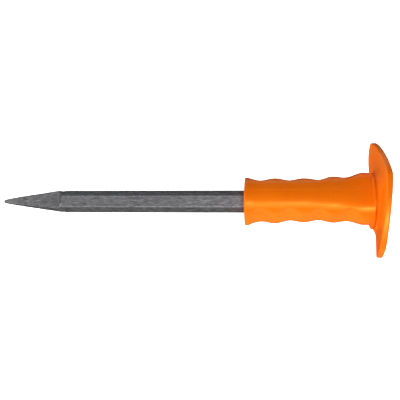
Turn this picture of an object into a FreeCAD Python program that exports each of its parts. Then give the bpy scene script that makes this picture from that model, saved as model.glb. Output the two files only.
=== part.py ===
"""Point chisel with a moulded hand guard, in millimetres.

The bar lies along X: point at -X, striking head at +X, origin at the middle of the striking face.
+Z is the smooth palm side of the guard, where its mould line runs; the finger grooves face -Z.
"""
import FreeCAD, Part
import math
import os

Vector = FreeCAD.Vector

# hexagon bar, corners at +Z and -Z
bar_length = 400.0
bar_flats = 20.0
bar_edge_round = 0.5
head_bevel_length = 2.4
head_bevel_depth = 2.2

# forged four-sided point
point_length = 63.0
point_runout = 6.0
point_turn = 74.0
tip_half_size = 1.95
shoulder_half_wide = 9.8
shoulder_half_narrow = 8.1
shoulder_ridge_end = 5.0
shoulder_swell_radius = 12.5
tip_radius = 2.0
ground_length = 16.0
ground_end_radius = 5.6

# hand guard, bored to slide on the bar
bore_clearance = 0.05
grip_free_end = -143.4
grip_end = -17.4
grip_edge_round = 1.0
groove_count = 4
groove_pitch = 28.6
groove_last = -41.5
groove_depth = 2.3
groove_turn = -6.0
crease_at_ridge = 51.6
crease_at_groove = 38.0
crease_width = 20.0
side_angle = 59.0

# grip size from the axis: station, top, upper side, lower side, bottom
grip_stations = (
    (grip_free_end, 24.5, 24.5, 24.5, 24.0),
    (-132.5, 23.7, 24.0, 23.2, 22.6),
    (-113.0, 23.8, 23.8, 22.4, 22.4),
    (-84.4, 23.8, 23.7, 21.3, 21.4),
    (-55.8, 23.9, 25.4, 21.1, 20.9),
    (-27.2, 24.0, 28.9, 21.6, 20.5),
    (grip_end, 24.0, 28.7, 21.5, 20.5),
)

# collar between the grip and the flange, with a sloping front and a neck that flares behind it
collar_front = -18.5
collar_back = -16.8
collar_radius = 27.5
collar_slope = 3.0
collar_foot_radius = 21.5
collar_edge_round = 0.8
neck_radius = 26.3
neck_end = -8.8
neck_end_radius = 43.3
neck_fillet = 3.5

# shield-shaped flange, its sides swept towards the hand and its ends away from it
flange_front = -14.1
flange_thickness = 5.7
flange_top = 51.0
flange_bottom = -46.8
flange_widest = 14.5
flange_half_width = 60.8
flange_top_power = 1.3
flange_bottom_power = 2.15
flange_lean = 0.023
flange_side_sweep = 2.8
flange_end_sweep = 5.2
flange_edge_round = 1.2

# modelling aids
sections = 26
around = 36
oversize = 70.0
sheet_margin = 1.2
tolerance = 1e-3


def smoothstep(t):
    t = min(max(t, 0.0), 1.0)
    return t * t * (3 - 2 * t)


def closed(points):
    return Part.makePolygon(points + points[:1])


def hexagon_wire(flats, x):
    corner = flats / math.sqrt(3.0)
    turns = [math.radians(60.0 * i + 90.0) for i in range(6)]
    return closed([Vector(x, corner * math.cos(t), corner * math.sin(t)) for t in turns])


def hexagon_prism(flats, x0, x1):
    return Part.Face(hexagon_wire(flats, x0)).extrude(Vector(x1 - x0, 0, 0))


def turned(points):
    return Part.Face(closed(points)).revolve(Vector(0, 0, 0), Vector(1, 0, 0), 360)


def point_rectangle(x, wide, narrow):
    turn = math.radians(point_turn)
    out = Vector(0, -math.cos(turn), math.sin(turn))
    side = Vector(0, math.sin(turn), math.cos(turn))
    centre = Vector(x, 0, 0)
    signs = ((1, 1), (1, -1), (-1, -1), (-1, 1))
    return closed([centre + out * (narrow * a) + side * (wide * b) for a, b in signs])


def make_bar():
    tip = -bar_length
    shoulder = tip + point_length
    runout_end = shoulder + point_runout
    ridge_end = shoulder + shoulder_ridge_end
    shank = hexagon_prism(bar_flats, shoulder, 0.0)
    long_edges = [e for e in shank.Edges if e.BoundBox.XLength > bar_flats]
    shank = shank.makeFillet(bar_edge_round, long_edges)
    swell = turned([
        Vector(tip, 0, 0),
        Vector(tip, 0, shoulder_swell_radius),
        Vector(shoulder, 0, shoulder_swell_radius),
        Vector(ridge_end, 0, bar_flats / 2 - bar_edge_round),
        Vector(ridge_end, 0, 0),
    ])
    forged = Part.makeLoft([
        point_rectangle(tip, tip_half_size, tip_half_size),
        point_rectangle(shoulder, shoulder_half_wide, shoulder_half_narrow),
        point_rectangle(runout_end, bar_flats / math.sqrt(3.0), bar_flats / math.sqrt(3.0)),
        point_rectangle(oversize, bar_length, bar_length),
    ], True, True)
    head_face_radius = bar_flats / math.sqrt(3.0) - head_bevel_depth
    halfway = tip_radius * math.sqrt(0.5)
    nose_arc = Part.Arc(
        Vector(tip, 0, 0),
        Vector(tip + tip_radius - halfway, 0, halfway),
        Vector(tip + tip_radius, 0, tip_radius),
    ).toShape()
    rest = Part.makePolygon([
        Vector(tip + tip_radius, 0, tip_radius),
        Vector(tip + ground_length, 0, ground_end_radius),
        Vector(tip + ground_length, 0, oversize),
        Vector(-head_bevel_length, 0, oversize),
        Vector(-head_bevel_length, 0, head_face_radius + head_bevel_depth),
        Vector(0, 0, head_face_radius),
        Vector(0, 0, 0),
        Vector(tip, 0, 0),
    ])
    profile = Part.Face(Part.Wire([nose_arc] + rest.Edges))
    finished = profile.revolve(Vector(0, 0, 0), Vector(1, 0, 0), 360)
    bar = shank.fuse(swell).common(forged).common(finished)
    return bar.removeSplitter()


def between(x, column):
    for a, b in zip(grip_stations, grip_stations[1:]):
        if x <= b[0]:
            return a[column] + (b[column] - a[column]) * smoothstep((x - a[0]) / (b[0] - a[0]))
    return grip_stations[-1][column]


def groove_at(x):
    first = groove_last - groove_pitch * (groove_count - 0.5)
    last = groove_last + groove_pitch / 2
    if x <= first or x >= last:
        return 0.0
    return 0.5 + 0.5 * math.cos(2 * math.pi * (x - groove_last) / groove_pitch)


def grip_radius(x, angle):
    top, upper, lower, bottom = (between(x, column) for column in (1, 2, 3, 4))
    side = math.radians(side_angle)
    c2 = ((top + bottom) / 2 - (upper + lower) / 2) / (1 - math.cos(2 * side))
    c0 = (top + bottom) / 2 - c2
    c3 = ((top - bottom) / 2 * math.cos(side) - (upper - lower) / 2) / (math.cos(side) - math.cos(3 * side))
    c1 = (top - bottom) / 2 - c3
    radius = c0 + c1 * math.cos(angle) + c2 * math.cos(2 * angle) + c3 * math.cos(3 * angle)
    groove = groove_at(x)
    crease = crease_at_ridge + (crease_at_groove - crease_at_ridge) * groove
    fade = smoothstep((abs(math.degrees(angle) - groove_turn) - crease) / crease_width)
    return radius - groove_depth * groove * fade


def grip_section(x, inset):
    points = []
    for i in range(around):
        angle = 2 * math.pi * i / around
        angle = angle if angle <= math.pi else angle - 2 * math.pi
        radius = grip_radius(x, angle) - inset
        points.append(Vector(x, radius * math.sin(angle), radius * math.cos(angle)))
    curve = Part.BSplineCurve()
    curve.interpolate(points, PeriodicFlag=True)
    return Part.Wire([curve.toShape()])


def make_grip():
    wires = [grip_section(grip_free_end, grip_edge_round)]
    for i in range(sections + 1):
        start = grip_free_end + grip_edge_round
        stop = grip_end - grip_edge_round
        wires.append(grip_section(start + (stop - start) * i / sections, 0.0))
    wires.append(grip_section(grip_end, grip_edge_round))
    body = Part.makeLoft(wires[1:-1], True, False)
    ends = [Part.makeLoft(pair, True, True) for pair in (wires[:2], wires[-2:])]
    return body.fuse(ends)


def flange_sheet(offset):
    half_y = flange_half_width * sheet_margin
    half_z = flange_top * sheet_margin
    side = flange_side_sweep / flange_half_width ** 2
    end = flange_end_sweep / flange_top ** 2
    sheet = Part.BezierSurface()
    sheet.increase(2, 2)
    for i, y_sign, y_pull in ((1, -1, 1), (2, 0, -1), (3, 1, 1)):
        for j, z_sign, z_pull in ((1, -1, 1), (2, 0, -1), (3, 1, 1)):
            y = half_y * y_sign
            z = half_z * z_sign
            x = flange_front + offset - flange_lean * z
            x = x - side * half_y ** 2 * y_pull + end * half_z ** 2 * z_pull
            sheet.setPole(i, j, Vector(x, y, z))
    return sheet.toShape()


def make_flange():
    slab = flange_sheet(0.0).extrude(Vector(flange_thickness, 0, 0))
    outline = []
    for i in range(around):
        angle = 2 * math.pi * i / around
        upper = math.cos(angle) > 0
        power = flange_top_power if upper else flange_bottom_power
        reach = flange_top if upper else flange_bottom
        up = abs(math.cos(angle)) ** (2 / power)
        out = math.copysign(abs(math.sin(angle)) ** (2 / power), math.sin(angle))
        z = flange_widest + (reach - flange_widest) * up
        outline.append(Vector(-oversize, flange_half_width * out, z))
    curve = Part.BSplineCurve()
    curve.interpolate(outline, PeriodicFlag=True)
    blank = Part.Face(Part.Wire([curve.toShape()])).extrude(Vector(2 * oversize, 0, 0))
    plate = slab.common(blank)
    rims = [e for e in plate.Edges if e.BoundBox.YLength > flange_half_width]
    return plate.makeFillet(flange_edge_round, rims)


def make_collar():
    collar = turned([
        Vector(collar_front - collar_slope, 0, 0),
        Vector(collar_front - collar_slope, 0, collar_foot_radius),
        Vector(collar_front, 0, collar_radius),
        Vector(collar_back, 0, collar_radius),
        Vector(collar_back, 0, neck_radius),
        Vector(neck_end, 0, neck_end_radius),
        Vector(0, 0, neck_end_radius),
        Vector(0, 0, 0),
    ])
    rims = [e for e in collar.Edges if is_ring(e, collar_radius)]
    collar = collar.makeFillet(collar_edge_round, rims)
    return collar.common(flange_sheet(flange_thickness / 2).extrude(Vector(-oversize, 0, 0)))


def is_ring(edge, radius):
    return edge.BoundBox.XLength < tolerance and abs(edge.BoundBox.ZMax - radius) < tolerance


def joins_neck(edge):
    middle = edge.valueAt((edge.FirstParameter + edge.LastParameter) / 2)
    spread = (neck_end_radius - neck_radius) / (neck_end - collar_back)
    radius = neck_radius + (middle.x - collar_back) * spread
    on_neck = abs(math.hypot(middle.y, middle.z) - radius) < tolerance
    return on_neck and edge.BoundBox.YLength > tolerance and edge.BoundBox.XLength > tolerance


def make_guard():
    foot = make_collar().fuse(make_flange())
    foot = foot.makeFillet(neck_fillet, [e for e in foot.Edges if joins_neck(e)])
    guard = make_grip().fuse(foot)
    bore_flats = bar_flats + 2 * bore_clearance
    guard = guard.cut(hexagon_prism(bore_flats, -bar_length, oversize))
    return guard.removeSplitter()


os.makedirs("parts", exist_ok=True)
chisel_bar = make_bar()
chisel_bar.exportStep("parts/chisel_bar.step")
hand_guard = make_guard()
hand_guard.exportStep("parts/hand_guard.step")
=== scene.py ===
import math

import bpy
import numpy as np
from mathutils import Matrix, Vector, noise


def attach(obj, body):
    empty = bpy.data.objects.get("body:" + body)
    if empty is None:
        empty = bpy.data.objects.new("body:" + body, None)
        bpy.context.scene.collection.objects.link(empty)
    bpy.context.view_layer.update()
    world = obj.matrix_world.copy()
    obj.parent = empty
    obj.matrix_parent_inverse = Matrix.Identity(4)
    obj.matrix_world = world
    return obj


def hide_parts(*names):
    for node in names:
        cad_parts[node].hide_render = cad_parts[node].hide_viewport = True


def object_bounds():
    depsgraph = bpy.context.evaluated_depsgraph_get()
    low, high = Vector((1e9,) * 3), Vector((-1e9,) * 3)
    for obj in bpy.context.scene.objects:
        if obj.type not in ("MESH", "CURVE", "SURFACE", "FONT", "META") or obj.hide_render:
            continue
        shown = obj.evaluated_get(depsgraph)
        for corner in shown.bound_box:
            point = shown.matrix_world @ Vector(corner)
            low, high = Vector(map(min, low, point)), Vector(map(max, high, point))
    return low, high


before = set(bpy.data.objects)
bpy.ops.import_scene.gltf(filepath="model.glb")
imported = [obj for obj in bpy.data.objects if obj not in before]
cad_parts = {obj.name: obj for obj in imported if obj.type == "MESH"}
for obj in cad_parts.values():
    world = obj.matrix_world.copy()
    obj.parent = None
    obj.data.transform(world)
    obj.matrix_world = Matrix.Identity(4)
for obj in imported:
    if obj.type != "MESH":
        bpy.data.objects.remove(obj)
cad_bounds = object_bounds()
MM = 0.001

# ---------------------------------------------------------------- view, in metres and degrees
VIEW_ELEVATION = 59.0
VIEW_YAW = 7.06
VIEW_CENTRE = Vector((-0.1895, 0, 0))
VIEW_RISE = 0.0016
VIEW_DISTANCE = 0.6435
SENSOR_WIDTH = 36.0
LENS = 56.43
CLIP_NEAR = 0.01
CLIP_FAR = 20.0

# ---------------------------------------------------------------- sizes, in millimetres, as in the CAD model
# hexagon bar with a forged point
BAR_LENGTH = 400.0
BAR_FLATS = 20.0
BAR_CORNER = BAR_FLATS / math.sqrt(3)
BAR_EDGE_ROUND = 0.5
POINT_LENGTH = 63.0
POINT_RUNOUT = 6.0
POINT_TURN = 74.0
TIP_HALF = 1.95
SHOULDER_WIDE = 9.8
SHOULDER_NARROW = 8.1
RIDGE_END = 5.0
SWELL_RADIUS = 12.5
TIP_RADIUS = 2.0
GROUND_LENGTH = 16.0
GROUND_END_RADIUS = 5.6
HEAD_BEVEL_LENGTH = 2.4
HEAD_BEVEL_DEPTH = 2.2

# grip; a station is x, then the distance from the axis to the top, upper side, lower side and bottom
BORE_CLEARANCE = 0.05
BORE_FLATS = BAR_FLATS + 2 * BORE_CLEARANCE
GRIP_START = -143.4
GRIP_END = -17.4
GROOVES = 4
GROOVE_PITCH = 28.6
GROOVE_LAST = -41.5
GROOVE_DEPTH = 2.3
GROOVE_TURN = -6.0
CREASE_RIDGE = 51.6
CREASE_GROOVE = 38.0
SIDE_ANGLE = 59.0
STATIONS = np.array((
    (GRIP_START, 24.5, 24.5, 24.5, 24.0),
    (-132.5, 23.7, 24.0, 23.2, 22.6),
    (-113.0, 23.8, 23.8, 22.4, 22.4),
    (-84.4, 23.8, 23.7, 21.3, 21.4),
    (-55.8, 23.9, 25.4, 21.1, 20.9),
    (-27.2, 24.0, 28.9, 21.6, 20.5),
    (GRIP_END, 24.0, 28.7, 21.5, 20.5)))

# collar and flaring neck
COLLAR_FRONT = -18.5
COLLAR_BACK = -16.8
COLLAR_RADIUS = 27.5
COLLAR_SLOPE = 3.0
COLLAR_FOOT_RADIUS = 21.5
COLLAR_ROUND = 0.8
NECK_RADIUS = 26.3
NECK_END = -8.8
NECK_END_RADIUS = 43.3

# shield-shaped flange
FLANGE_FRONT = -14.1
FLANGE_THICKNESS = 5.7
FLANGE_TOP = 51.0
FLANGE_BOTTOM = -46.8
FLANGE_WIDEST = 14.5
HALF_WIDTH = 60.8
TOP_POWER = 1.3
BOTTOM_POWER = 2.15
FLANGE_LEAN = 0.023
SIDE_SWEEP = 2.8
END_SWEEP = 5.2
FLANGE_ROUND = 1.2

# ---------------------------------------------------------------- surface detail, in millimetres
# how two surfaces meet: the higher the power, the sharper the corner
HEXAGON_POWER = 110
POINT_POWER = 60.0
SWELL_POWER = 40
TIP_POWER = 14.0
BORE_POWER = 90

# hammer marks and mill scale: where each starts or stops, and over what length it fades
HAMMER_IN = (12, 8)
HAMMER_OUT = (62, 16)
SCALE_IN = (50, 20)
# layers of unevenness: height, waves in a millimetre, seed
HAMMER_LAYERS = ((0.16, 0.16, 1), (0.07, 0.5, 2))
SCALE_LAYERS = ((0.03, 0.45, 3), (0.012, 1.3, 4))
SEED_SHIFT = (17.3, 5.1, 9.7)
HAMMER_CUT = 0.06
SCALE_CUT = 0.03
SCALE_STRETCH = (0.25, 1, 1)

# where the steel is bright: share of the half thickness that counts as a corner, and the ground tip
WORN_SHARE = 1.09
WORN_BLEND = 0.05
WORN_FADE = 6
GROUND_FADE = 3
GROUND_BLEND = 4

# striking head: plain rings, then the bevel's distance from the face and amount off the corner
HEAD_PLAIN = (5.0, 3.6, 2.6)
HEAD_BEVEL = (
    (HEAD_BEVEL_LENGTH, 0.0),
    (2.2, 0.17),
    (1.8, 0.5),
    (1.2, 1.1),
    (0.6, 1.62),
    (0.3, HEAD_BEVEL_DEPTH - 0.2),
    (0.1, HEAD_BEVEL_DEPTH - 0.02),
    (0.0, HEAD_BEVEL_DEPTH + 0.18))
HEAD_FACE_SHARES = (0.9, 0.7, 0.45, 0.2)
HEAD_WEAR = 0.055

# edges of the moulding; a mouth ring is its depth in the bore and how far it opens
MOUTH_RINGS = ((0.5, 0.0), (0.15, 0.15), (0.0, 0.5))
MOUTH_ROUND = 0.5
BORE_EASE = 0.12
GRIP_FREE_ROUND = 1.2
GRIP_END_ROUND = 0.6
GRIP_END_GAP = 0.03
COLLAR_FRONT_SET = 0.2
COLLAR_FRONT_DROP = 0.25
COLLAR_BACK_ROUND = 0.7
NECK_FOOT = ((0.25, 0.45), (0.45, 0.1))
NECK_INSET = 0.1
NECK_BLEND = 0.3
GROOVE_FADE = 6
CREASE_WIDTH = 18.0
FINGER_SETBACK = 0.3

# mould line, raised along the palm side; on the flange it fades near the neck and near the rim
LINE_HEIGHT = 0.25
GRIP_LINE_WIDTH = 0.4
FLANGE_LINE_WIDTH = 0.45
LINE_FADE_NECK = 12
LINE_FADE_RIM = 8

# vertices round a ring, the spacing or number of rings, and the angle above which an edge looks sharp
BAR_AROUND = 288
GUARD_AROUND = 360
NOSE_RINGS = 8
NOSE_FIRST = 0.15
NOSE_GAP = 0.6
POINT_STEP = 0.8
SHOULDER_GAP = 0.3
SHOULDER_STEP = 0.5
SHANK_FROM = 80
SHANK_STEP = 1.4
HEAD_GAP = 6
GRIP_STEP = 0.7
GRIP_GAP = 0.1
SLOPE_STEP = 0.25
SLOPE_GAP = 0.3
OUTLINE_LOW = 20.0
OUTLINE_HIGH = 80.0
OUTLINE_HALVINGS = 40
FACE_RINGS = 44
FACE_SPACING = 1.3
BACK_RINGS = 30
BORE_RINGS = 8
BAR_SHARP = 28.0
GUARD_SHARP = 40.0
RUNOUT_LIMIT = 30.0
TINY = 1e-6


# ---------------------------------------------------------------- camera
def add_camera():
    elevation = math.radians(VIEW_ELEVATION)
    yaw = math.radians(VIEW_YAW)
    along = Vector((1, 0, 0))
    up = Vector((0, math.sin(elevation), math.cos(elevation)))
    away = Vector((0, math.cos(elevation), -math.sin(elevation)))
    forward = away * math.cos(yaw) - along * math.sin(yaw)
    right = along * math.cos(yaw) + away * math.sin(yaw)
    place = VIEW_CENTRE + up * VIEW_RISE - forward * VIEW_DISTANCE
    camera = bpy.data.objects.new("camera", bpy.data.cameras.new("camera"))
    bpy.context.collection.objects.link(camera)
    camera.data.sensor_width = SENSOR_WIDTH
    camera.data.lens = LENS
    camera.data.clip_start = CLIP_NEAR
    camera.data.clip_end = CLIP_FAR
    camera.matrix_world = Matrix((
        (right.x, up.x, -forward.x, place.x),
        (right.y, up.y, -forward.y, place.y),
        (right.z, up.z, -forward.z, place.z),
        (0, 0, 0, 1)))
    bpy.context.scene.camera = camera


# ---------------------------------------------------------------- mesh helpers
def new_mesh(name, verts, faces, sharp):
    mesh = bpy.data.meshes.new(name)
    mesh.from_pydata((np.asarray(verts) * MM).tolist(), [], faces)
    mesh.validate()
    mesh.update()
    mesh.polygons.foreach_set("use_smooth", [True] * len(mesh.polygons))
    mesh.set_sharp_from_angle(angle=math.radians(sharp))
    obj = bpy.data.objects.new(name, mesh)
    bpy.context.collection.objects.link(obj)
    return obj


def all_round(count):
    return np.linspace(0, 2 * math.pi, count, endpoint=False)


def section(x, radius, angles):
    """One ring of vertices round the X axis; x and radius are each one number or one for every angle."""
    radius = radius + np.zeros(len(angles))
    return np.stack([x + np.zeros(len(angles)), radius * np.sin(angles), radius * np.cos(angles)], 1)


def ring_faces(rings, count, wrap):
    """Quads between neighbouring rings; wrap joins the last ring to the first."""
    faces = []
    for i in range(rings if wrap else rings - 1):
        a = i * count
        b = ((i + 1) % rings) * count
        for j in range(count):
            k = (j + 1) % count
            faces.append((b + j, b + k, a + k, a + j))
    return faces


def smooth(t):
    t = np.clip(t, 0.0, 1.0)
    return t * t * (3 - 2 * t)


def fade_in(s, start, length):
    return smooth((s - start) / length)


def smooth_min(a, b, power):
    return (a ** -power + b ** -power) ** (-1 / power)


def smooth_max(a, b, power):
    return (a ** power + b ** power) ** (1 / power)


def polygon_radius(angles, normals, sizes, power):
    """Radius of a polygon whose sides face the normals, in degrees, and lie at the sizes from the axis."""
    total = 0
    for normal, size in zip(normals, sizes):
        facing = np.maximum(np.cos(angles - math.radians(normal)), TINY)
        total = total + (facing / size) ** power
    return total ** (-1.0 / power)


def hexagon_radius(angles, flats, power):
    return polygon_radius(angles, [30 + 60 * k for k in range(6)], [flats / 2] * 6, power)


def unevenness(points, layers):
    total = 0
    for height, scale, seed in layers:
        offset = Vector([seed * shift for shift in SEED_SHIFT])
        total = total + height * np.array([noise.noise(Vector(p) * scale + offset) for p in points])
    return total


# ---------------------------------------------------------------- the steel bar, where s starts at its tip
def point_radius(s, angles):
    """The forged point's four sides, which open out past the hexagon behind the shoulder."""
    share = min(s / POINT_LENGTH, 1.0)
    beyond = min(max((s - POINT_LENGTH) / POINT_RUNOUT, 0.0), RUNOUT_LIMIT)
    narrow = TIP_HALF + (SHOULDER_NARROW - TIP_HALF) * share + (BAR_CORNER - SHOULDER_NARROW) * beyond
    wide = TIP_HALF + (SHOULDER_WIDE - TIP_HALF) * share + (BAR_CORNER - SHOULDER_WIDE) * beyond
    normals = [POINT_TURN - 90 + 90 * k for k in range(4)]
    return polygon_radius(angles, normals, [narrow, wide] * 2, POINT_POWER)


def nose_radius(s):
    """The rounded nose and the ground cone behind it."""
    if s < TIP_RADIUS:
        return math.sqrt(max(TIP_RADIUS ** 2 - (TIP_RADIUS - s) ** 2, TINY))
    return TIP_RADIUS + (GROUND_END_RADIUS - TIP_RADIUS) * (s - TIP_RADIUS) / (GROUND_LENGTH - TIP_RADIUS)


def bar_radius(s, angles):
    if s < POINT_LENGTH:
        outer = np.full_like(angles, SWELL_RADIUS)
    else:
        run = min((s - POINT_LENGTH) / RIDGE_END, 1.0)
        swell = SWELL_RADIUS + (BAR_FLATS / 2 - BAR_EDGE_ROUND - SWELL_RADIUS) * run
        outer = smooth_max(hexagon_radius(angles, BAR_FLATS, HEXAGON_POWER), swell, SWELL_POWER)
    radius = smooth_min(outer, point_radius(s, angles), POINT_POWER)
    if s < GROUND_LENGTH + GROUND_BLEND:
        radius = smooth_min(radius, nose_radius(s), TIP_POWER)
    return radius


def marks_depth(s, ring):
    """How far the hammer marks by the point and the mill scale on the shank lie below the plain surface."""
    hammered = fade_in(s, *HAMMER_IN) * (1 - fade_in(s, *HAMMER_OUT))
    scaled = fade_in(s, *SCALE_IN)
    hammer = HAMMER_CUT - unevenness(ring, HAMMER_LAYERS)
    scale = SCALE_CUT - unevenness(ring * np.array(SCALE_STRETCH), SCALE_LAYERS)
    return np.maximum(hammered * hammer + scaled * scale, 0.0)


def shank_and_point(angles):
    nose = TIP_RADIUS * (1 - np.cos(np.linspace(NOSE_FIRST, math.pi / 2, NOSE_RINGS)))
    point = np.arange(TIP_RADIUS + NOSE_GAP, POINT_LENGTH - SHOULDER_GAP, POINT_STEP)
    shoulder = np.arange(POINT_LENGTH, SHANK_FROM, SHOULDER_STEP)
    shank = np.arange(SHANK_FROM + SHOULDER_STEP, BAR_LENGTH - HEAD_GAP, SHANK_STEP)
    for s in np.concatenate([nose, point, shoulder, shank]):
        radius = bar_radius(s, angles)
        depth = marks_depth(s, section(s - BAR_LENGTH, radius, angles))
        yield section(s - BAR_LENGTH, radius - depth, angles)


def striking_head(angles):
    hexagon = hexagon_radius(angles, BAR_FLATS, HEXAGON_POWER) - HEAD_WEAR
    for back in HEAD_PLAIN:
        yield section(-back, hexagon, angles)
    for back, off in HEAD_BEVEL:
        yield section(-back, np.minimum(hexagon, BAR_CORNER - off), angles)
    for share in HEAD_FACE_SHARES:
        yield section(0.0, (BAR_CORNER - HEAD_BEVEL[-1][1]) * share, angles)


def build_bar():
    angles = all_round(BAR_AROUND)
    rings = [*shank_and_point(angles), *striking_head(angles)]
    verts = np.concatenate([*rings, [(-BAR_LENGTH, 0, 0), (0, 0, 0)]])
    tip = len(verts) - 2
    head = len(verts) - 1
    last = (len(rings) - 1) * BAR_AROUND
    faces = ring_faces(len(rings), BAR_AROUND, False)
    faces += [(j, (j + 1) % BAR_AROUND, tip) for j in range(BAR_AROUND)]
    faces += [(last + (j + 1) % BAR_AROUND, last + j, head) for j in range(BAR_AROUND)]
    obj = new_mesh("chisel_bar_forged", verts, faces, BAR_SHARP)

    # shares that the steel's material reads: bright on the hexagon's corners, and ground at the tip
    s = verts[:, 0] + BAR_LENGTH
    corner_share = np.hypot(verts[:, 1], verts[:, 2]) / (BAR_FLATS / 2)
    worn = fade_in(corner_share, WORN_SHARE, WORN_BLEND) * fade_in(s, POINT_LENGTH, WORN_FADE)
    ground = 1 - fade_in(s, GROUND_LENGTH, GROUND_FADE)
    for name, values in (("worn", worn), ("ground", ground)):
        obj.data.attributes.new(name, "FLOAT", "POINT").data.foreach_set("value", values)
    return obj


# ---------------------------------------------------------------- the guard
def station_sizes(x):
    i = int(np.clip(np.searchsorted(STATIONS[:, 0], x) - 1, 0, len(STATIONS) - 2))
    here, there = STATIONS[i], STATIONS[i + 1]
    return here[1:] + (there[1:] - here[1:]) * fade_in(x, here[0], there[0] - here[0])


def grip_radius(x, angles):
    top, upper, lower, bottom = station_sizes(x)
    side = math.radians(SIDE_ANGLE)
    c2 = ((top + bottom) / 2 - (upper + lower) / 2) / (1 - math.cos(2 * side))
    c0 = (top + bottom) / 2 - c2
    c3 = ((top - bottom) / 2 * math.cos(side) - (upper - lower) / 2) / (math.cos(side) - math.cos(3 * side))
    c1 = (top - bottom) / 2 - c3
    radius = c0 + c1 * np.cos(angles) + c2 * np.cos(2 * angles) + c3 * np.cos(3 * angles)
    turn = np.degrees(np.abs((angles - math.radians(GROOVE_TURN) + math.pi) % (2 * math.pi) - math.pi))
    first = GROOVE_LAST - GROOVE_PITCH * (GROOVES - 0.5)
    last = GROOVE_LAST + GROOVE_PITCH / 2
    groove = 0.0
    if first < x < last:
        groove = 0.5 + 0.5 * math.cos(2 * math.pi * (x - GROOVE_LAST) / GROOVE_PITCH)
    fingers = fade_in(x, first, GROOVE_FADE) * smooth((last - x) / GROOVE_FADE)
    crease = CREASE_RIDGE + (CREASE_GROOVE - CREASE_RIDGE) * groove
    past_crease = np.clip((turn - crease) / CREASE_WIDTH, 0, 1)
    return radius - (GROOVE_DEPTH * groove + FINGER_SETBACK * fingers) * np.sin(past_crease * math.pi / 2)


def mould_line(angles, radius, width):
    off = np.abs(np.sin(angles)) * radius
    return np.exp(-(off / width) ** 2)


def flange_front(y, z):
    sweep = END_SWEEP * (z / FLANGE_TOP) ** 2 - SIDE_SWEEP * (y / HALF_WIDTH) ** 2
    return FLANGE_FRONT - FLANGE_LEAN * z + sweep


def flared_front(y, z):
    """The flange's front with the neck's cone joined to it."""
    face = flange_front(y, z)
    flare = (NECK_END - COLLAR_BACK) / (NECK_END_RADIUS - NECK_RADIUS)
    neck = COLLAR_BACK + (np.hypot(y, z) - NECK_RADIUS) * flare
    ahead = face - neck
    return face - 0.5 * (ahead + np.sqrt(ahead ** 2 + NECK_BLEND ** 2))


def flange_outline(angles):
    """Distance from the axis to the shield's edge, found by halving the range that holds it."""
    low = np.full_like(angles, OUTLINE_LOW)
    high = np.full_like(angles, OUTLINE_HIGH)
    for _ in range(OUTLINE_HALVINGS):
        middle = (low + high) / 2
        y = np.abs(middle * np.sin(angles))
        z = middle * np.cos(angles) - FLANGE_WIDEST
        up = z / np.where(z > 0, FLANGE_TOP - FLANGE_WIDEST, FLANGE_BOTTOM - FLANGE_WIDEST)
        power = np.where(z > 0, TOP_POWER, BOTTOM_POWER)
        inside = (up < 1) & (y < HALF_WIDTH * np.maximum(1 - up ** power, 0) ** (1 / power))
        low = np.where(inside, middle, low)
        high = np.where(inside, high, middle)
    return (low + high) / 2


# each stretch of the guard gives its rings as x and radius, in the order that they join up
def free_end(angles, bore):
    """Bore mouth, end face and rounded edge."""
    for depth, opening in MOUTH_RINGS:
        yield GRIP_START + depth, bore + opening
    start = GRIP_START + GRIP_FREE_ROUND
    full = grip_radius(start, angles)
    mouth = bore + MOUTH_ROUND
    for share in (0.25, 0.5, 0.75):
        yield GRIP_START, mouth + (full - GRIP_FREE_ROUND - mouth) * share
    for a in np.radians((0, 22, 45, 68)):
        yield start - GRIP_FREE_ROUND * math.cos(a), full - GRIP_FREE_ROUND * (1 - math.sin(a))


def grip(angles):
    """The grip, then the collar's sloping front rising out of it."""
    foot = COLLAR_FRONT - COLLAR_SLOPE
    slope = (COLLAR_RADIUS - COLLAR_FOOT_RADIUS) / COLLAR_SLOPE
    plain = np.arange(GRIP_START + GRIP_FREE_ROUND, foot - GRIP_GAP, GRIP_STEP)
    rising = np.arange(foot, COLLAR_FRONT - SLOPE_GAP, SLOPE_STEP)
    for x in np.concatenate([plain, rising]):
        radius = grip_radius(x, angles)
        radius = radius + LINE_HEIGHT * mould_line(angles, radius, GRIP_LINE_WIDTH)
        yield x, np.maximum(radius, COLLAR_FOOT_RADIUS + (x - foot) * slope)


def collar(angles):
    """Front edge, the grip's end where it stands above the collar, and back edge.

    The grip's end starts 0.3 mm in front of the ring before it and the back edge 0.13 mm, so the mesh
    doubles back on itself there.
    """
    for a in np.radians((0, 25, 50, 75)):
        x = COLLAR_FRONT - COLLAR_FRONT_SET + COLLAR_ROUND * math.sin(a)
        yield x, np.maximum(grip_radius(x, angles), COLLAR_RADIUS - COLLAR_FRONT_DROP * math.cos(a))
    for x in (COLLAR_FRONT + COLLAR_ROUND, GRIP_END - GRIP_END_ROUND):
        yield x, np.maximum(grip_radius(x, angles), COLLAR_RADIUS)
    for a in np.radians((0, 30, 60, 90)):
        x = GRIP_END - GRIP_END_ROUND + GRIP_END_ROUND * math.sin(a)
        yield x, np.maximum(grip_radius(x, angles) - GRIP_END_ROUND * (1 - math.cos(a)), COLLAR_RADIUS)
    yield GRIP_END + GRIP_END_GAP, COLLAR_RADIUS
    for a in np.radians((0, 30, 60, 90)):
        x = COLLAR_BACK - COLLAR_BACK_ROUND + COLLAR_BACK_ROUND * math.sin(a)
        yield x, COLLAR_RADIUS - COLLAR_BACK_ROUND * (1 - math.cos(a))


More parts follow.
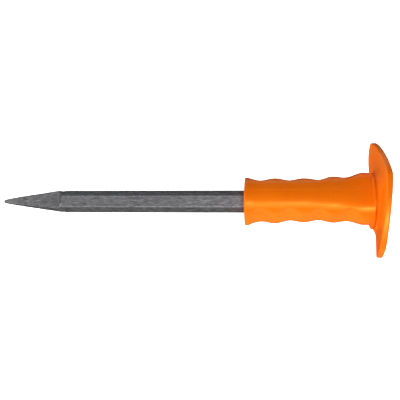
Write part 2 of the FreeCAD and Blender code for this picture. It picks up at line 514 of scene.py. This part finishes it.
def neck_and_face(angles, outline):
    """The flaring neck and the flange's front face, which meets the rim where its rounding starts."""
    for behind, outside in NECK_FOOT:
        yield COLLAR_BACK + behind, NECK_RADIUS + outside
    inner = NECK_RADIUS - NECK_INSET
    for share in np.linspace(0, 1, FACE_RINGS)[1:] ** FACE_SPACING:
        radius = inner + (outline - FLANGE_ROUND - inner) * share
        fade = min(1, (1 - share) * LINE_FADE_RIM) * min(1, share * LINE_FADE_NECK)
        line = mould_line(angles, radius, FLANGE_LINE_WIDTH) * fade
        yield flared_front(radius * np.sin(angles), radius * np.cos(angles)) - LINE_HEIGHT * line, radius


def rim(angles, outline):
    """The flange's rounded front edge, its plain edge and its rounded back edge."""
    rows = []
    for a in np.radians((18, 36, 54, 72, 90)):
        rows.append((FLANGE_ROUND * (1 - math.cos(a)), FLANGE_ROUND * (1 - math.sin(a))))
    for share in (0.33, 0.67):
        rows.append((FLANGE_ROUND + (FLANGE_THICKNESS - 2 * FLANGE_ROUND) * share, 0.0))
    for a in np.radians((0, 18, 36, 54, 72, 90)):
        rows.append((FLANGE_THICKNESS - FLANGE_ROUND * (1 - math.sin(a)), FLANGE_ROUND * (1 - math.cos(a))))
    for depth, inset in rows:
        radius = outline - inset
        yield flange_front(radius * np.sin(angles), radius * np.cos(angles)) + depth, radius


def back_and_bore(angles, outline, bore):
    """The plain back, the bore's rear mouth, and the bore up to its front mouth."""
    edge = outline - FLANGE_ROUND
    for share in np.linspace(0, 1, BACK_RINGS)[1:]:
        radius = edge + (bore + MOUTH_ROUND - edge) * share
        yield flange_front(radius * np.sin(angles), radius * np.cos(angles)) + FLANGE_THICKNESS, radius
    back = flange_front(bore * np.sin(angles), bore * np.cos(angles)) + FLANGE_THICKNESS
    for depth, opening in reversed(MOUTH_RINGS[:-1]):
        yield back - depth, bore + opening
    for share in np.linspace(0, 1, BORE_RINGS)[1:-1]:
        yield (back - MOUTH_ROUND) * (1 - share) + (GRIP_START + MOUTH_ROUND) * share, bore


def build_guard():
    angles = all_round(GUARD_AROUND)
    bore = hexagon_radius(angles, BORE_FLATS, BORE_POWER) + BORE_EASE
    outline = flange_outline(angles)
    stretches = (
        free_end(angles, bore),
        grip(angles),
        collar(angles),
        neck_and_face(angles, outline),
        rim(angles, outline),
        back_and_bore(angles, outline, bore))
    rings = [section(x, radius, angles) for stretch in stretches for x, radius in stretch]
    faces = ring_faces(len(rings), GUARD_AROUND, True)
    return new_mesh("hand_guard_moulding", np.concatenate(rings), faces, GUARD_SHARP)


# ---------------------------------------------------------------- materials
def grey(value):
    return (value, value, value)


def material(name):
    mat = bpy.data.materials.new(name)
    mat.use_nodes = True
    return mat, mat.node_tree, mat.node_tree.nodes["Principled BSDF"]


def object_coordinates(tree):
    return tree.nodes.new("ShaderNodeTexCoord").outputs["Object"]


def noise_node(tree, coords, scale, detail, rough=0.5, stretch=None):
    tex = tree.nodes.new("ShaderNodeTexNoise")
    tex.inputs["Scale"].default_value = scale
    tex.inputs["Detail"].default_value = detail
    tex.inputs["Roughness"].default_value = rough
    source = coords
    if stretch:
        mapping = tree.nodes.new("ShaderNodeMapping")
        mapping.inputs["Scale"].default_value = stretch
        tree.links.new(coords, mapping.inputs["Vector"])
        source = mapping.outputs["Vector"]
    tree.links.new(source, tex.inputs["Vector"])
    return tex.outputs["Fac"]


def ramp_node(tree, fac, stops):
    ramp = tree.nodes.new("ShaderNodeValToRGB")
    elements = ramp.color_ramp.elements
    while len(elements) < len(stops):
        elements.new(0.5)
    for element, (position, colour) in zip(elements, stops):
        element.position = position
        element.color = (*colour, 1.0)
    tree.links.new(fac, ramp.inputs["Fac"])
    return ramp.outputs["Color"]


def add_bump(tree, shader, height, strength, distance):
    bump = tree.nodes.new("ShaderNodeBump")
    bump.inputs["Strength"].default_value = strength
    bump.inputs["Distance"].default_value = distance
    tree.links.new(height, bump.inputs["Height"])
    tree.links.new(bump.outputs["Normal"], shader.inputs["Normal"])


def attribute_share(tree, name):
    """The mesh's attribute times a second input, which the caller links or sets."""
    mask = tree.nodes.new("ShaderNodeAttribute")
    mask.attribute_name = name
    share = tree.nodes.new("ShaderNodeMath")
    share.operation = "MULTIPLY"
    tree.links.new(mask.outputs["Fac"], share.inputs[0])
    return share


def cover(tree, base, share, colour):
    mix = tree.nodes.new("ShaderNodeMix")
    mix.data_type = "RGBA"
    tree.links.new(share.outputs[0], mix.inputs["Factor"])
    tree.links.new(base, mix.inputs[6])
    mix.inputs[7].default_value = (*colour, 1.0)
    return mix.outputs[2]


def pvc():
    mat, tree, shader = material("orange_pvc")
    coords = object_coordinates(tree)
    cloud = noise_node(tree, coords, 45.0, 3.0)
    orange = ramp_node(tree, cloud, ((0.3, (0.94, 0.168, 0.002)), (0.7, (0.99, 0.19, 0.003))))
    tree.links.new(orange, shader.inputs["Base Color"])
    fine = noise_node(tree, coords, 900.0, 2.0)
    roughness = ramp_node(tree, fine, ((0.3, grey(0.27)), (0.75, grey(0.3))))
    tree.links.new(roughness, shader.inputs["Roughness"])
    add_bump(tree, shader, noise_node(tree, coords, 420.0, 2.0), 0.008, 0.0004)
    shader.inputs["IOR"].default_value = 1.5
    shader.inputs["Specular IOR Level"].default_value = 0.8
    shader.inputs["Specular Tint"].default_value = (1.0, 0.6, 0.1, 1.0)
    shader.inputs["Subsurface Weight"].default_value = 0.12
    shader.inputs["Subsurface Scale"].default_value = 0.004
    shader.inputs["Subsurface Radius"].default_value = (1.0, 0.4, 0.05)
    return mat


def steel():
    """Mottled dark scale, with bright patches worn on the corners and a ground grey tip."""
    mat, tree, shader = material("forged_steel")
    coords = object_coordinates(tree)
    mottle = noise_node(tree, coords, 620.0, 10.0, 0.8, (0.2, 1, 1))
    dark = (0.062, 0.053, 0.053)
    middle = (0.145, 0.144, 0.152)
    light = (0.29, 0.29, 0.3)
    base = ramp_node(tree, mottle, ((0.34, dark), (0.5, middle), (0.66, light)))
    speckle = noise_node(tree, coords, 900.0, 5.0, 0.7, (0.5, 1, 1))
    worn = attribute_share(tree, "worn")
    tree.links.new(ramp_node(tree, speckle, ((0.42, grey(0.0)), (0.6, grey(1.0)))), worn.inputs[1])
    ground = attribute_share(tree, "ground")
    ground.inputs[1].default_value = 0.9
    base = cover(tree, base, worn, (0.36, 0.36, 0.365))
    base = cover(tree, base, ground, (0.17, 0.17, 0.172))
    tree.links.new(base, shader.inputs["Base Color"])
    fine = noise_node(tree, coords, 700.0, 4.0, 0.6, (0.5, 1, 1))
    roughness = ramp_node(tree, fine, ((0.3, grey(0.34)), (0.7, grey(0.62))))
    tree.links.new(roughness, shader.inputs["Roughness"])
    add_bump(tree, shader, fine, 0.35, 0.0002)
    shader.inputs["Metallic"].default_value = 0.55
    shader.inputs["Specular IOR Level"].default_value = 0.5
    return mat


# ---------------------------------------------------------------- floor, in millimetres, and light, in metres
FLOOR_REACH = 9000
SHOULDER_SUPPORT_GAP = 0.1
FLANGE_SUPPORT_X = -8.0
FLANGE_SUPPORT_GAP = 0.2
WORLD_STRENGTH = 0.18
LIGHT_CENTRE = Vector((-0.15, 0, 0))


def add_floor():
    """A glowing floor, sloped so that it passes just under the bar's shoulder and the flange's low edge."""
    rest_x = -BAR_LENGTH + POINT_LENGTH + RIDGE_END
    rest_z = -BAR_CORNER - SHOULDER_SUPPORT_GAP
    flange_z = cad_bounds[0][2] / MM - FLANGE_SUPPORT_GAP
    slope = (flange_z - rest_z) / (FLANGE_SUPPORT_X - rest_x)
    xs = (-FLOOR_REACH, FLOOR_REACH, FLOOR_REACH, -FLOOR_REACH)
    ys = (-FLOOR_REACH, -FLOOR_REACH, FLOOR_REACH, FLOOR_REACH)
    corners = [(x, y, rest_z + slope * (x - rest_x)) for x, y in zip(xs, ys)]
    mesh = bpy.data.meshes.new("floor")
    mesh.from_pydata((np.array(corners) * MM).tolist(), [], [(0, 1, 2, 3)])
    floor = bpy.data.objects.new("floor", mesh)
    bpy.context.collection.objects.link(floor)
    floor.visible_glossy = False
    mat, _, shader = material("pale_floor")
    shader.inputs["Base Color"].default_value = (0.3, 0.3, 0.3, 1)
    shader.inputs["Roughness"].default_value = 0.9
    shader.inputs["Specular IOR Level"].default_value = 0.0
    shader.inputs["Emission Color"].default_value = (1, 1, 1, 1)
    shader.inputs["Emission Strength"].default_value = 1.9
    mat.cycles.emission_sampling = "NONE"
    mesh.materials.append(mat)
    return floor


def add_world():
    world = bpy.data.worlds.new("studio")
    world.use_nodes = True
    background = world.node_tree.nodes["Background"]
    background.inputs["Color"].default_value = (1, 1, 1, 1)
    background.inputs["Strength"].default_value = WORLD_STRENGTH
    world.cycles_visibility.glossy = False
    bpy.context.scene.world = world


def add_light(name, offset, size, size_y, watts, colour=(1.0, 1.0, 1.0)):
    """A rectangular light, placed by its offset from the middle of the tool and aimed there."""
    light = bpy.data.lights.new(name, "AREA")
    light.shape = "RECTANGLE"
    light.size = size
    light.size_y = size_y
    light.energy = watts
    light.color = colour
    obj = bpy.data.objects.new(name, light)
    bpy.context.collection.objects.link(obj)
    obj.location = LIGHT_CENTRE + Vector(offset)
    obj.rotation_euler = (-Vector(offset)).to_track_quat("-Z", "Y").to_euler()


add_camera()

bar = build_bar()
bar.data.materials.append(steel())
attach(bar, "bar")
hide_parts("chisel_bar")

guard = build_guard()
guard.data.materials.append(pvc())
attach(guard, "guard")
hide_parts("hand_guard")

floor = add_floor()
add_world()
add_light("key", (0.08, -0.72, 0.72), 0.9, 0.5, 4.4)
add_light("strip", (0.27, -0.62, 0.82), 0.3, 0.16, 2.2)
add_light("left", (-0.75, -0.2, 0.55), 0.6, 0.4, 2.8)
add_light("sky", (-0.15, 0.9, 0.16), 1.3, 0.3, 0.8, (0.8, 0.9, 1.0))
bpy.context.scene.view_settings.view_transform = "Standard"
